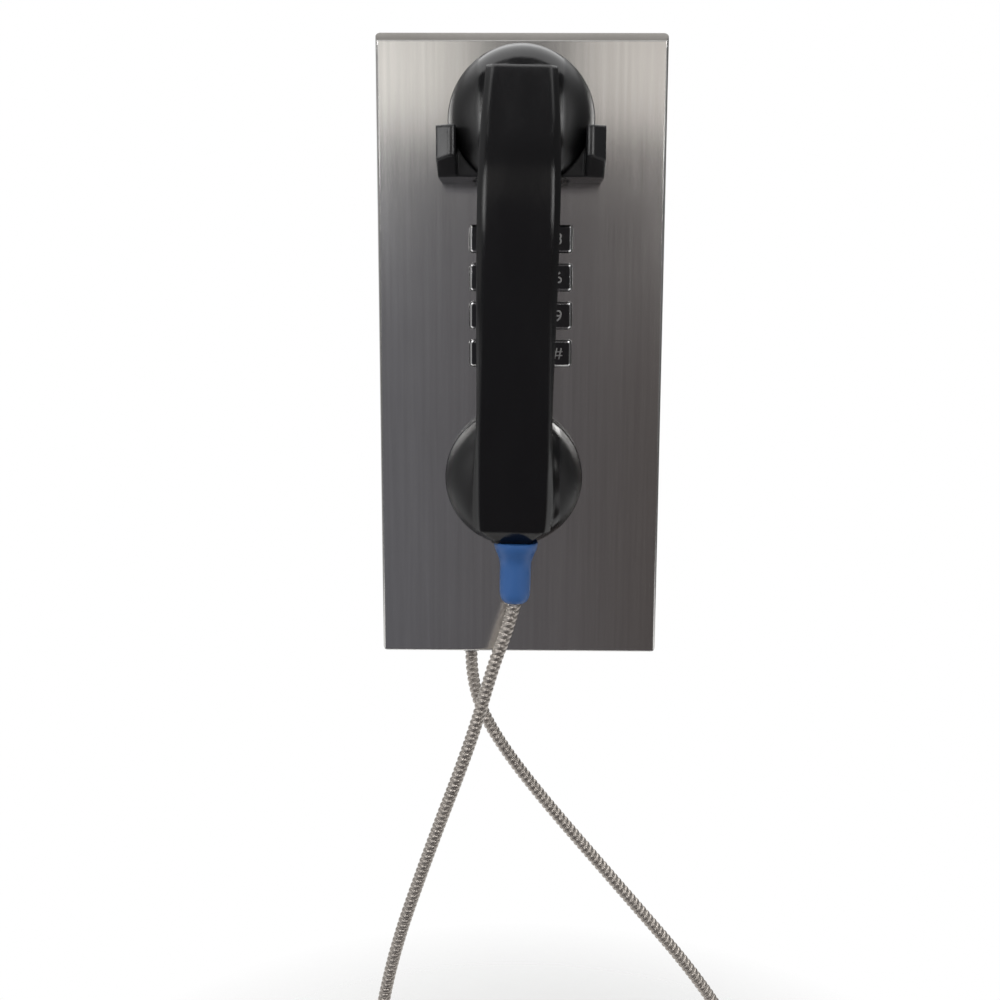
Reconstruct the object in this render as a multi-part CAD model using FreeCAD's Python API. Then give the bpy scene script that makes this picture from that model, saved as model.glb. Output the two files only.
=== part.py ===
import FreeCAD, Part
import math
import os

# An armoured wall telephone: a folded stainless housing with a 12-key metal keypad, a black cradle with a
# hook lever, and a black handset that hangs in the cradle on a steel-armoured cord.
# Millimetres. +X is right, +Z is up and the face looks along -Y. The origin is on the wall, in the middle of
# the four wall bolts. "Out" is the distance in front of the face of the housing.

# ---------------------------------------------------------------- housing
HOUSING_W = 133.35
HOUSING_H = 290.5
HOUSING_Z = 1.75  # the housing's middle above the wall bolts' middle
HOUSING_D = 50.8
SHEET = 1.9  # stainless sheet of the cover and of the back plate
TOP_BEND_R = 4.5  # outside radius of the fold along the top
BOTTOM_BEND_R = 1.4
SIDE_BEND_R = 1.2  # outside radius of the ground welds along the sides
CORNER_R = 2.8
SHEET_GAP = 0.4  # between the cover and the back plate inside it
FLANGE_D = 16.0  # depth of the back plate's side flanges
WALL_BOLT_X = 88.9
WALL_BOLT_Z = 228.6
WALL_BOLT_R = 3.6
ENTRY_R = 11.0  # cable entry through the back plate
ENTRY_Z = -58.0

# ---------------------------------------------------------------- screws
COVER_SCREW_Z = 95.0
COVER_SCREW_FROM_WALL = 10.0
COVER_SCREW_R = 2.0
COVER_HEAD_R = 3.8
COVER_HEAD_T = 2.2
COVER_HEAD_EDGE_R = 1.3
COVER_SCREW_LENGTH = 8.0
SOCKET_R = 1.5  # across the corners of the hexagon socket
SOCKET_DEPTH = 1.2
SCREW_GAP = 0.15  # radial, around every screw, stud and pin that doesn't turn
PAST = 1.0  # how far a cutter reaches past the piece that it cuts
NEAR = 0.01  # places closer than this count as the same
ALONG = 0.9  # an edge's share of an axis, above which it runs along it
SMALL_SCREW_R = 1.5
SMALL_HEAD_R = 2.8
SMALL_HEAD_T = 1.8
NUT_FLATS = 5.5
NUT_T = 2.4
STUD_END = 1.0  # how far a stud stands out of its nut

# ---------------------------------------------------------------- keypad
KEY_ROWS = (("1", "2", "3"), ("4", "5", "6"), ("7", "8", "9"), ("star", "0", "hash"))
KEY_PITCH = 17.6
KEY_SIZE = 12.0
KEY_GAP = 0.35  # round each key
KEY_PROUD = 2.4
KEY_CORNER_R = 1.4
KEY_EDGE = 0.8  # bevel of the key's outer edge
KEY_TRAVEL = 0.9
KEY_FLANGE = 1.0  # how far the key's rear flange stands out on each side
KEY_FLANGE_T = 1.5
KEYPAD_TOP_Z = 64.7  # top edge of the frame, just under the hook lever
FRAME_T = 4.0
FRAME_RIM = 2.4
FRAME_MARGIN_X = 12.6  # from the outer keys' centres to the inside of the rim
FRAME_MARGIN_Z = 7.6
DOME_R = 4.0
DOME_H = 1.2
MAT_T = 1.0
BOARD_T = 1.6
STUD_R = 1.5
STUD_INSET = 2.6  # from the frame's outer corner to the stud's axis
STUD_BOSS_R = 3.4
RUN_GAP = 0.3  # between parts that move past each other

# ---------------------------------------------------------------- handset
EAR_Z = 105.9
MOUTH_DROP = 161.5  # from the ear cup's axis down to the mouth cup's
HANDSET_LEAN = 1.0  # degrees; the handset hangs with its lower end towards the left
EAR_CAP_R = 33.1
MOUTH_CAP_R = 32.1
CAP_OUT = 3.4  # the caps' faces stand this far off the housing
CAP_H = 8.8
CAP_FACE_T = 2.5
CAP_WALL = 2.3
CAP_EDGE_R = 1.6
SOUND_HOLE_R = 1.1
SOUND_RING_COUNTS = (6, 12)
SOUND_RING_RADII = (6.5, 13.0)
GUARD_T = 0.8
THREAD_GAP = 0.3
CAPSULE_H = 9.0
CAPSULE_RIM_H = 3.5
CAPSULE_CAN = 0.82  # of the rim's radius
POCKET_DEPTH = 13.0
CAPSULE_GAP = 0.4
POCKET_WALL = 6.0  # from the shell's neck in to the capsule pocket
# The back of a cup behind its cap: (share of the cap's radius, out).
CUP_BACK = ((0.991, 12.2), (0.982, 15.0), (0.965, 19.0), (0.925, 24.5), (0.876, 28.0), (0.811, 30.6),
            (0.71, 32.9), (0.533, 34.6), (0.355, 35.2))
# The handle from top to bottom: (z, out at the back of the hand, out at the finger side, half width, width of the
# bevels beside the flat back of the handle).
HANDLE = (
    (123.8, 45.5, 27.0, 15.1, 3.0),
    (112.0, 50.3, 26.0, 15.9, 3.0),
    (99.0, 55.2, 25.0, 16.6, 3.0),
    (87.0, 58.6, 25.5, 17.1, 3.0),
    (73.0, 60.2, 29.0, 17.4, 2.9),
    (52.0, 60.3, 33.0, 17.4, 2.8),
    (24.0, 57.4, 33.4, 17.2, 2.2),
    (-5.0, 52.8, 30.0, 16.8, 1.3),
    (-33.0, 46.6, 23.5, 16.9, 1.2),
    (-58.0, 39.6, 22.0, 18.1, 2.8),
    (-73.0, 35.2, 21.5, 17.8, 3.0),
    (-77.8, 33.8, 21.3, 17.2, 2.8),
)
# Its slanted end, where the strain relief comes out.
HANDLE_END = (HANDLE[-1], (-83.0, 29.2, 21.0, 9.8, 1.5), (-84.2, 28.9, 21.0, 9.4, 1.5))
HANDLE_BEVEL_DROP = 2.6
HANDLE_WALL = 4.0
FINGER_BEVEL = 5.0
GROMMET_OUT = 22.8
GROMMET_X = 1.8
GROMMET_TOP_Z = -84.2
SPOT_FACE_R = 10.8  # under the handset's end, round the strain relief
GROMMET_STEM_R = 5.0
GROMMET_STEM_H = 7.0
GROMMET_STEM_END = 1.0  # left free above the stem
# The blue strain relief from its flange down: (radius, distance below its top).
GROMMET = ((10.1, 0.0), (10.1, 1.2), (9.5, 3.6), (7.9, 7.4), (7.25, 10.4), (7.2, 15.0), (7.2, 20.0), (7.0, 24.6),
           (6.0, 27.6), (4.6, 28.8))

# ---------------------------------------------------------------- cradle and hook
PRONG_IN = 28.0
PRONG_RIDGE = 31.1
PRONG_X = 36.8
PRONG_TOP_Z = 100.7
PRONG_BEND_Z = 87.6
PRONG_LOW_Z = 80.0
PRONG_OUT = 38.0
PRONG_SIDE_OUT = 35.0
PRONG_FOOT_OUT = 25.0
PRONG_INNER_R = 1.6  # beside the ear cup, at the front
PRONG_EDGE_R = 0.7
YOKE_OUT = 26.0
CHIN_HALF_W = 15.5
CHIN_LOW_Z = 62.5
CHIN_BEVEL = 1.5
SEAT_GAP = 0.45  # between the cradle's seat and the ear cup
CRADLE_SCREWS = ((32.0, 84.6), (10.8, 67.8))  # (x, z), and the same on the left
CRADLE_SCREW_DEPTH = 7.0
CRADLE_BORE = 8.0
LEVER_HALF_W = 4.0
LEVER_SLOT_GAP = 0.8
LEVER_T = 4.0
LEVER_Z = 68.4  # middle of the arm
LEVER_FINGER_OUT = (18.0, 23.5)
LEVER_TIP_R = 1.5
LEVER_TAIL = 13.0  # behind the pivot
LEVER_SWING = 12.0  # degrees
PIVOT_BEHIND = 10.0  # behind the inside of the cover
PIN_R = 1.5
PIN_GAP = 0.05
PIN_BEVEL = 0.3
PIN_END = 1.0  # how far the pins stand out of the bracket
LEVER_BOSS_R = 3.1
EAR_T = 1.5
EAR_HALF_SPAN = 7.0  # from the middle to the inner side of each bracket ear
BRACKET_HALF_W = 20.0
BRACKET_Z = (71.5, 80.5)
SPRING_WIRE_R = 0.4
SPRING_COILS = 3
SWITCH_SIZE = (6.4, 10.2, 16.0)
SWITCH_PIN_R = 1.2
SWITCH_COLLAR_R = 1.9
SWITCH_PINS = (3.2, 12.6)  # below the top of the switch

# ---------------------------------------------------------------- electronics
MAIN_W = 84.0
MAIN_H = 70.0
MAIN_Z = -62.0
MAIN_INSET = 5.0
STANDOFF_R = 3.0
STANDOFF_H = 12.0
STANDOFF_BORE = 8.0
BOARD_SCREW_DEPTH = 6.0  # in the standoff
BOARD_CORNER_R = 2.0
RINGER_R = 14.0
RINGER_H = 8.0
RINGER_EDGE_R = 1.2
RINGER_HOLE = (1.5, 3.0)  # radius and depth
RINGER_AT = (-22.0, -48.0)
TERMINALS = 4
TERMINAL_PITCH = 7.6
TERMINAL_SIZE = (10.0, 9.0)
TERMINAL_WELL = (2.2, 3.0)  # radius and depth
TERMINAL_AT = (8.0, -86.0)
JACK_SIZE = (13.2, 11.6, 14.0)
JACK_OPENING = (10.0, 7.0, 10.0)
JACK_AT = (27.0, -50.0)

# ---------------------------------------------------------------- cord
CORD_R = 3.175
CORD_EXIT_X = -24.5
CORD_EXIT_Y = -25.0
BUSHING_R = 6.4
BUSHING_FLANGE_R = 9.0
BUSHING_FLANGE_T = 2.6
BUSHING_NOSE_R = 5.2
BUSHING_TIP_R = 4.6
BUSHING_NOSE = 4.0
BUSHING_INSIDE = 9.0
BUSHING_NUT_R = 10.0
BUSHING_NUT_T = 4.0
ARC_SHARE = 0.45  # of the shorter run, taken by each arc
# The cord's corners from the strain relief to the housing, as it hangs: x, y, z.
CORD_POINTS = (
    (-2.0, -73.6, -113.1),
    (-2.3, -73.6, -123.4),
    (-8.4, -73.1, -143.6),
    (-21.3, -71.4, -181.7),
    (-42.6, -67.8, -239.5),
    (-62.9, -64.2, -298.9),
    (-73.3, -60.6, -355.3),
    (-61.3, -57.3, -405.3),
    (-27.8, -54.0, -441.6),
    (19.8, -50.9, -459.2),
    (68.6, -47.8, -452.2),
    (103.6, -45.1, -426.8),
    (116.4, -42.6, -390.0),
    (108.9, -40.2, -353.7),
    (87.6, -37.6, -320.4),
    (54.0, -34.0, -277.0),
    (6.2, -28.7, -218.5),
    (-17.2, -25.9, -185.0),
    (-24.7, -25.0, -161.8),
    (-24.5, -25.0, -150.2),
)

FACE_Y = -HOUSING_D
INSIDE_Y = FACE_Y + SHEET
HALF_W = HOUSING_W / 2
TOP_Z = HOUSING_Z + HOUSING_H / 2
BOTTOM_Z = HOUSING_Z - HOUSING_H / 2
FRAME_BACK_Y = INSIDE_Y + FRAME_T
MAT_Y = FRAME_BACK_Y + RUN_GAP + KEY_FLANGE_T + KEY_TRAVEL + RUN_GAP + DOME_H
BOARD_Y = MAT_Y + MAT_T
KEY_COLUMNS = len(KEY_ROWS[0])
FRAME_HALF_W = KEY_PITCH * (KEY_COLUMNS - 1) / 2 + FRAME_MARGIN_X + FRAME_RIM
FRAME_HALF_H = KEY_PITCH * (len(KEY_ROWS) - 1) / 2 + FRAME_MARGIN_Z + FRAME_RIM
KEYPAD_Z = KEYPAD_TOP_Z - FRAME_HALF_H
PIVOT_Y = INSIDE_Y + PIVOT_BEHIND
MOUTH_Z = EAR_Z - MOUTH_DROP


def vec(x, y, z):
    return FreeCAD.Vector(x, y, z)


def out(distance):
    """The y of a place this far in front of the housing's face."""
    return FACE_Y - distance


def box(x0, x1, y0, y1, z0, z1):
    return Part.makeBox(x1 - x0, y1 - y0, z1 - z0, vec(x0, y0, z0))


def rod(radius, start, end):
    """A cylinder from start to end."""
    along = vec(*end) - vec(*start)
    return Part.makeCylinder(radius, along.Length, vec(*start), along)


def polygon(points):
    return Part.Face(Part.makePolygon([vec(*p) for p in points + points[:1]]))


def rounded_outline(points, first, last):
    """A face whose outline runs on one smooth curve from the point number first to last, and straight elsewhere."""
    bend = Part.BSplineCurve()
    bend.interpolate([vec(*p) for p in points[first:last + 1]])
    straight = [k for k in range(len(points)) if not first <= k < last]
    edges = [Part.LineSegment(vec(*points[k]), vec(*points[(k + 1) % len(points)])).toShape() for k in straight]
    edges.insert(first, bend.toShape())
    return Part.Face(Part.Wire(edges))


def hexagon(radius, start, end):
    """A hexagonal bar from start to end; radius is to its corners."""
    along = vec(*end) - vec(*start)
    corners = [vec(radius * math.cos(math.radians(60 * k)), radius * math.sin(math.radians(60 * k)), 0)
               for k in range(7)]
    bar = Part.Face(Part.makePolygon(corners)).extrude(vec(0, 0, along.Length))
    bar.Placement = FreeCAD.Placement(vec(*start), FreeCAD.Rotation(vec(0, 0, 1), along))
    return bar


def fuse(shapes):
    return shapes[0].multiFuse(shapes[1:]).removeSplitter() if len(shapes) > 1 else shapes[0]


def rounded_plate(half_x, half_z, radius, y0, y1, x=0.0, z=0.0):
    """A plate in the XZ plane with rounded corners."""
    plate = box(x - half_x, x + half_x, y0, y1, z - half_z, z + half_z)
    upright = [e for e in plate.Edges if abs(e.tangentAt(e.FirstParameter).y) > ALONG]
    return plate.makeFillet(radius, upright)


def turned_y(face, z):
    """A solid of revolution about the Y line through x = 0 and z."""
    return face.revolve(vec(0, 0, z), vec(0, 1, 0), 360)


def turned_z(face, x, y):
    """A solid of revolution about the upright line through x and y."""
    return face.revolve(vec(x, y, 0), vec(0, 0, 1), 360)


def leaned(shape):
    """The shape turned as the handset hangs."""
    shape.rotate(vec(0, 0, EAR_Z), vec(0, 1, 0), HANDSET_LEAN)
    return shape


def save(name, shape):
    solids = shape.Solids
    shape = solids[0] if len(solids) == 1 else Part.makeCompound(solids)
    shape.exportStep("parts/" + name + ".step")
    print(name, len(solids), "solids", round(shape.Volume, 1), "mm3", shape.isValid())


# ---------------------------------------------------------------- housing pieces
def folded_box(inset):
    """The housing's outer form, or that form inset on every side but the open back."""
    w, low, high, front = HALF_W - inset, BOTTOM_Z + inset, TOP_Z - inset, FACE_Y + inset
    side = max(SIDE_BEND_R - inset, 0.3)
    corner = max(CORNER_R - inset, 0.5)
    block = box(-w, w, front, 0, low, high)
    block = block.makeFillet(corner, [e for e in block.Edges if abs(e.tangentAt(e.FirstParameter).y) > ALONG])
    folds = box(-HOUSING_W, HOUSING_W, front, 0, low, high)
    for radius, z in ((TOP_BEND_R, high), (BOTTOM_BEND_R, low)):
        folds = folds.makeFillet(max(radius - inset, 0.3), [e for e in folds.Edges if e.CenterOfMass.y < front + NEAR
                                                            and abs(e.CenterOfMass.z - z) < NEAR])
    sides = box(-w, w, front, 0, low - HOUSING_H, high + HOUSING_H)
    sides = sides.makeFillet(side, [e for e in sides.Edges if e.CenterOfMass.y < front + NEAR
                                    and abs(abs(e.CenterOfMass.x) - w) < NEAR])
    return block.common(folds).common(sides)


def key_places():
    """(name, x, z) of each key."""
    rows = len(KEY_ROWS)
    return [(name, KEY_PITCH * (column - (KEY_COLUMNS - 1) / 2), KEYPAD_Z + KEY_PITCH * ((rows - 1) / 2 - row))
            for row, names in enumerate(KEY_ROWS) for column, name in enumerate(names)]


def stud_places():
    x, z = FRAME_HALF_W - STUD_INSET, FRAME_HALF_H - STUD_INSET
    return [(sx * x, KEYPAD_Z + sz * z) for sx in (-1, 1) for sz in (-1, 1)]


def cradle_screw_places():
    return [(side * x, z) for side in (-1, 1) for x, z in CRADLE_SCREWS]


def cover_screw_places():
    return [(side, z) for side in (-1, 1) for z in (-COVER_SCREW_Z, COVER_SCREW_Z)]


def lever_slot_z():
    """The lowest and highest z of the slot that the lever swings in."""
    reach = (PIVOT_BEHIND + SHEET) * math.tan(math.radians(LEVER_SWING))
    return LEVER_Z - LEVER_T / 2 - LEVER_SLOT_GAP, LEVER_Z + LEVER_T / 2 + reach + LEVER_SLOT_GAP


def housing_cover():
    cover = folded_box(0).cut(folded_box(SHEET))
    half = KEY_SIZE / 2 + KEY_GAP
    holes = [rounded_plate(half, half, KEY_CORNER_R, FACE_Y - PAST, INSIDE_Y + PAST, x, z) for _, x, z in key_places()]
    low, high = lever_slot_z()
    slot = LEVER_HALF_W + LEVER_SLOT_GAP
    holes.append(box(-slot, slot, FACE_Y - PAST, INSIDE_Y + PAST, low, high))
    for x, z in cradle_screw_places():
        holes.append(rod(SMALL_SCREW_R + SCREW_GAP, (x, FACE_Y - PAST, z), (x, INSIDE_Y + PAST, z)))
    holes.append(rod(BUSHING_R + SCREW_GAP, (CORD_EXIT_X, CORD_EXIT_Y, BOTTOM_Z - PAST),
                     (CORD_EXIT_X, CORD_EXIT_Y, BOTTOM_Z + SHEET + PAST)))
    for side, z in cover_screw_places():
        holes.append(rod(COVER_SCREW_R + SCREW_GAP, (side * (HALF_W + PAST), -COVER_SCREW_FROM_WALL, z),
                         (side * (HALF_W - SHEET - PAST), -COVER_SCREW_FROM_WALL, z)))
    return cover.cut(Part.makeCompound(holes))


def back_plate():
    inset = SHEET + SHEET_GAP
    w, low, high = HALF_W - inset, BOTTOM_Z + inset, TOP_Z - inset
    plate = box(-w, w, -FLANGE_D, 0, low, high)
    plate = plate.cut(box(-w + SHEET, w - SHEET, -FLANGE_D - PAST, -SHEET, low - PAST, high + PAST))
    holes = [rod(WALL_BOLT_R, (sx * WALL_BOLT_X / 2, -SHEET - PAST, sz * WALL_BOLT_Z / 2),
                 (sx * WALL_BOLT_X / 2, PAST, sz * WALL_BOLT_Z / 2)) for sx in (-1, 1) for sz in (-1, 1)]
    holes.append(rod(ENTRY_R, (0, -SHEET - PAST, ENTRY_Z), (0, PAST, ENTRY_Z)))
    for side, z in cover_screw_places():
        holes.append(rod(COVER_SCREW_R + SCREW_GAP, (side * (w + PAST), -COVER_SCREW_FROM_WALL, z),
                         (side * (w - SHEET - PAST), -COVER_SCREW_FROM_WALL, z)))
    return plate.cut(Part.makeCompound(holes))


def cover_screws():
    screws = []
    for side, z in cover_screw_places():
        y = -COVER_SCREW_FROM_WALL
        seat, top, end = HALF_W, HALF_W + COVER_HEAD_T, HALF_W - COVER_SCREW_LENGTH
        head = rod(COVER_HEAD_R, (side * seat, y, z), (side * top, y, z))
        head = head.makeFillet(COVER_HEAD_EDGE_R, [e for e in head.Edges if len(e.Vertexes) == 1
                                                    and abs(e.CenterOfMass.x - side * top) < NEAR])
        shank = rod(COVER_SCREW_R, (side * end, y, z), (side * seat, y, z))
        socket = hexagon(SOCKET_R, (side * (top - SOCKET_DEPTH), y, z), (side * (top + PAST), y, z))
        screws.append(head.fuse(shank).cut(socket))
    return Part.makeCompound(screws)


# ---------------------------------------------------------------- keypad pieces
def keypad_frame():
    w, h = FRAME_HALF_W, FRAME_HALF_H
    frame = rounded_plate(w, h, STUD_INSET, INSIDE_Y, MAT_Y, 0, KEYPAD_Z)
    well = box(-w + FRAME_RIM, w - FRAME_RIM, FRAME_BACK_Y, MAT_Y + PAST,
               KEYPAD_Z - h + FRAME_RIM, KEYPAD_Z + h - FRAME_RIM)
    bosses = [rod(STUD_BOSS_R, (x, INSIDE_Y, z), (x, MAT_Y, z)) for x, z in stud_places()]
    frame = frame.cut(well).fuse(frame.common(Part.makeCompound(bosses)))
    half = KEY_SIZE / 2 + KEY_GAP
    holes = [rounded_plate(half, half, KEY_CORNER_R, INSIDE_Y - PAST, FRAME_BACK_Y + PAST, x, z)
             for _, x, z in key_places()]
    holes += [rod(STUD_R + SCREW_GAP, (x, INSIDE_Y - PAST, z), (x, MAT_Y + PAST, z)) for x, z in stud_places()]
    return frame.cut(Part.makeCompound(holes))


def keypad_key(x, z):
    half, front = KEY_SIZE / 2, out(KEY_PROUD)
    back = FRAME_BACK_Y + RUN_GAP
    cap = rounded_plate(half, half, KEY_CORNER_R, front, back + KEY_FLANGE_T, x, z)
    rim = [e for e in cap.Edges if e.BoundBox.YMax < front + NEAR]
    cap = cap.makeChamfer(KEY_EDGE, rim)
    wide = half + KEY_FLANGE
    return cap.fuse(rounded_plate(wide, wide, KEY_CORNER_R, back, back + KEY_FLANGE_T, x, z)).removeSplitter()


def stacked_sheet(y0, y1):
    """A sheet of the frame's outline with the four stud holes."""
    sheet = rounded_plate(FRAME_HALF_W, FRAME_HALF_H, STUD_INSET, y0, y1, 0, KEYPAD_Z)
    return sheet.cut(Part.makeCompound([rod(STUD_R + SCREW_GAP, (x, y0 - PAST, z), (x, y1 + PAST, z))
                                        for x, z in stud_places()]))


def key_mat():
    domes = [rod(DOME_R, (x, MAT_Y - DOME_H, z), (x, MAT_Y + MAT_T / 2, z)) for _, x, z in key_places()]
    return fuse([stacked_sheet(MAT_Y, BOARD_Y)] + domes)


def keypad_studs():
    end = BOARD_Y + BOARD_T + NUT_T + STUD_END
    return Part.makeCompound([rod(STUD_R, (x, INSIDE_Y, z), (x, end, z)) for x, z in stud_places()])


def nut(x, y, z, bore):
    body = hexagon(NUT_FLATS / math.sqrt(3), (x, y, z), (x, y + NUT_T, z))
    return body.cut(rod(bore, (x, y - PAST, z), (x, y + NUT_T + PAST, z)))


def keypad_nuts():
    return Part.makeCompound([nut(x, BOARD_Y + BOARD_T, z, STUD_R + SCREW_GAP) for x, z in stud_places()])


# ---------------------------------------------------------------- cradle and hook pieces
def cup_back(cap_r):
    return [(share * cap_r, p) for share, p in CUP_BACK]


def cup_turned(neck, back, z):
    """The neck's points and the smooth back of a cup, turned about the cup's axis; both are (radius, out)."""
    profile = neck + back + [(0, back[-1][1])]
    first = len(neck)
    return turned_y(rounded_outline([(r, out(p), z) for r, p in profile], first, first + len(back) - 1), z)


def cup_form(cap_r, z, gap):
    """A cup with its cap as one form, grown by the gap, for whatever has to clear it."""
    profile = [(0, CAP_OUT - gap), (cap_r + gap, CAP_OUT - gap), (cap_r + gap, CUP_BACK[0][1] + gap)]
    return cup_turned(profile, [(r + gap, p + gap) for r, p in cup_back(cap_r)], z)


def prong(side):
    """One faceted prong of the cradle."""
    across = [(PRONG_IN, 0), (PRONG_IN, PRONG_OUT), (PRONG_RIDGE, PRONG_OUT), (PRONG_X, PRONG_SIDE_OUT), (PRONG_X, 0)]
    upright = [(PRONG_TOP_Z, 0), (PRONG_TOP_Z, PRONG_OUT), (PRONG_BEND_Z, PRONG_OUT),
               (PRONG_LOW_Z, PRONG_FOOT_OUT), (PRONG_LOW_Z, 0)]
    plan = polygon([(side * x, out(p), PRONG_LOW_Z) for x, p in across])
    plan = plan.extrude(vec(0, 0, PRONG_TOP_Z - PRONG_LOW_Z))
    plan = plan.makeFillet(PRONG_INNER_R, [e for e in plan.Edges if e.BoundBox.YMax < out(PRONG_OUT) + NEAR
                                           and abs(e.CenterOfMass.x - side * PRONG_IN) < NEAR])
    profile = polygon([(-PRONG_X - PAST, out(p), z) for z, p in upright]).extrude(vec(2 * (PRONG_X + PAST), 0, 0))
    block = plan.common(profile)
    return block.makeFillet(PRONG_EDGE_R, [e for e in block.Edges if e.BoundBox.YMax < FACE_Y - PAST])


def cradle_body():
    yoke = box(-PRONG_RIDGE, PRONG_RIDGE, out(YOKE_OUT), FACE_Y, PRONG_LOW_Z, PRONG_TOP_Z)
    chin = box(-CHIN_HALF_W, CHIN_HALF_W, out(YOKE_OUT), FACE_Y, CHIN_LOW_Z, PRONG_LOW_Z + CHIN_BEVEL)
    front = [e for e in chin.Edges if e.BoundBox.YMax < out(YOKE_OUT) + NEAR]
    chin = chin.makeChamfer(CHIN_BEVEL, front)
    body = fuse([yoke, chin, prong(-1), prong(1)])
    body = body.cut(cup_form(EAR_CAP_R, EAR_Z, SEAT_GAP))
    slot = LEVER_HALF_W + LEVER_SLOT_GAP
    cuts = [box(-slot, slot, out(YOKE_OUT + PAST), FACE_Y + PAST, lever_slot_z()[0], PRONG_TOP_Z + PAST)]
    cuts += [rod(SMALL_SCREW_R + SCREW_GAP, (x, FACE_Y + PAST, z), (x, out(CRADLE_BORE), z))
             for x, z in cradle_screw_places()]
    return body.cut(Part.makeCompound(cuts))


def cradle_screws():
    screws = []
    for x, z in cradle_screw_places():
        head = rod(SMALL_HEAD_R, (x, INSIDE_Y, z), (x, INSIDE_Y + SMALL_HEAD_T, z))
        shank = rod(SMALL_SCREW_R, (x, INSIDE_Y, z), (x, out(CRADLE_SCREW_DEPTH), z))
        top = INSIDE_Y + SMALL_HEAD_T
        socket = hexagon(SOCKET_R, (x, top - SOCKET_DEPTH, z), (x, top + PAST, z))
        screws.append(head.fuse(shank).cut(socket))
    return Part.makeCompound(screws)


def hook_lever():
    """The arm under the ear cup, the finger that the cup presses down, and the tail at the switch."""
    low, high = LEVER_Z - LEVER_T / 2, LEVER_Z + LEVER_T / 2
    near, far = LEVER_FINGER_OUT
    finger_top = EAR_Z - max(r for r, p in cup_back(EAR_CAP_R) if p > near) - RUN_GAP - SEAT_GAP
    arm = box(-LEVER_HALF_W, LEVER_HALF_W, out(far), PIVOT_Y + LEVER_TAIL, low, high)
    finger = box(-LEVER_HALF_W, LEVER_HALF_W, out(far), out(near), low, finger_top)
    finger = finger.makeFillet(LEVER_TIP_R, [e for e in finger.Edges if e.CenterOfMass.z > finger_top - NEAR
                                     and abs(e.CenterOfMass.x) < NEAR])
    boss = rod(LEVER_BOSS_R, (-LEVER_HALF_W, PIVOT_Y, LEVER_Z), (LEVER_HALF_W, PIVOT_Y, LEVER_Z))
    bore = rod(PIN_R + PIN_GAP, (-LEVER_HALF_W - PAST, PIVOT_Y, LEVER_Z), (LEVER_HALF_W + PAST, PIVOT_Y, LEVER_Z))
    return fuse([arm, finger, boss]).cut(bore)


def hook_pin():
    end = EAR_HALF_SPAN + EAR_T + PIN_END
    pin = rod(PIN_R, (-end, PIVOT_Y, LEVER_Z), (end, PIVOT_Y, LEVER_Z))
    return pin.makeChamfer(PIN_BEVEL, [e for e in pin.Edges if e.Closed])


def switch_box():
    """The switch's front and back y and its low and high z, clear of the lever's tail at full swing."""
    back = PIVOT_Y + LEVER_TAIL
    drop = LEVER_TAIL * math.sin(math.radians(LEVER_SWING))
    high = LEVER_Z - LEVER_T / 2 - drop - 2 * RUN_GAP
    return back - SWITCH_SIZE[1], back, high - SWITCH_SIZE[2], high


def switch_pin_places():
    front, back, _, high = switch_box()
    return [((front + back) / 2, high - below) for below in SWITCH_PINS]


def hook_bracket():
    """A folded bracket on the inside of the cover, with an ear on each side of the lever and the switch."""
    foot, top = BRACKET_Z
    base = box(-BRACKET_HALF_W, BRACKET_HALF_W, INSIDE_Y, INSIDE_Y + EAR_T, foot, top)
    base = base.cut(box(-EAR_HALF_SPAN, EAR_HALF_SPAN, INSIDE_Y - PAST, INSIDE_Y + EAR_T + PAST,
                        foot - PAST, lever_slot_z()[1] + PAST))
    front, back, low, _ = switch_box()
    under_pin = LEVER_Z - LEVER_BOSS_R
    outline = [(INSIDE_Y, foot), (INSIDE_Y, top), (PIVOT_Y, top), (back, under_pin + LEVER_BOSS_R),
               (back, low), (front, low), (front, under_pin), (PIVOT_Y - LEVER_BOSS_R, under_pin)]
    ears = []
    for side in (-1, 1):
        x0, x1 = sorted((side * EAR_HALF_SPAN, side * (EAR_HALF_SPAN + EAR_T)))
        ears.append(polygon([(x0, y, z) for y, z in outline]).extrude(vec(x1 - x0, 0, 0)))
    bracket = fuse([base] + ears)
    end = EAR_HALF_SPAN + EAR_T + PAST
    holes = [rod(PIN_R + SCREW_GAP, (-end, PIVOT_Y, LEVER_Z), (end, PIVOT_Y, LEVER_Z))]
    holes += [rod(SWITCH_PIN_R + SCREW_GAP, (-end, y, z), (end, y, z)) for y, z in switch_pin_places()]
    return bracket.cut(Part.makeCompound(holes))


def hook_spring():
    """The torsion spring's coils round the pin, beside the lever's boss."""
    middle = PIN_R + RUN_GAP + SPRING_WIRE_R
    pitch = (EAR_HALF_SPAN - LEVER_HALF_W) / SPRING_COILS
    places = [side * (LEVER_HALF_W + pitch * (k + 0.5)) for side in (-1, 1) for k in range(SPRING_COILS)]
    return Part.makeCompound([Part.makeTorus(middle, SPRING_WIRE_R, vec(x, PIVOT_Y, LEVER_Z), vec(1, 0, 0))
                              for x in places])


def hook_switch():
    """The switch body with its button under the lever's tail."""
    front, back, low, high = switch_box()
    body = box(-SWITCH_SIZE[0] / 2, SWITCH_SIZE[0] / 2, front, back, low, high)
    button_y = (front + back) / 2
    drop = (button_y - PIVOT_Y) * math.sin(math.radians(LEVER_SWING))
    tip = LEVER_Z - LEVER_T / 2 - drop - 2 * RUN_GAP
    body = body.fuse(rod(SWITCH_PIN_R, (0, button_y, high - PAST), (0, button_y, tip)))
    holes = [rod(SWITCH_PIN_R + SCREW_GAP, (-SWITCH_SIZE[0], y, z), (SWITCH_SIZE[0], y, z))
             for y, z in switch_pin_places()]
    return body.cut(Part.makeCompound(holes))


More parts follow.
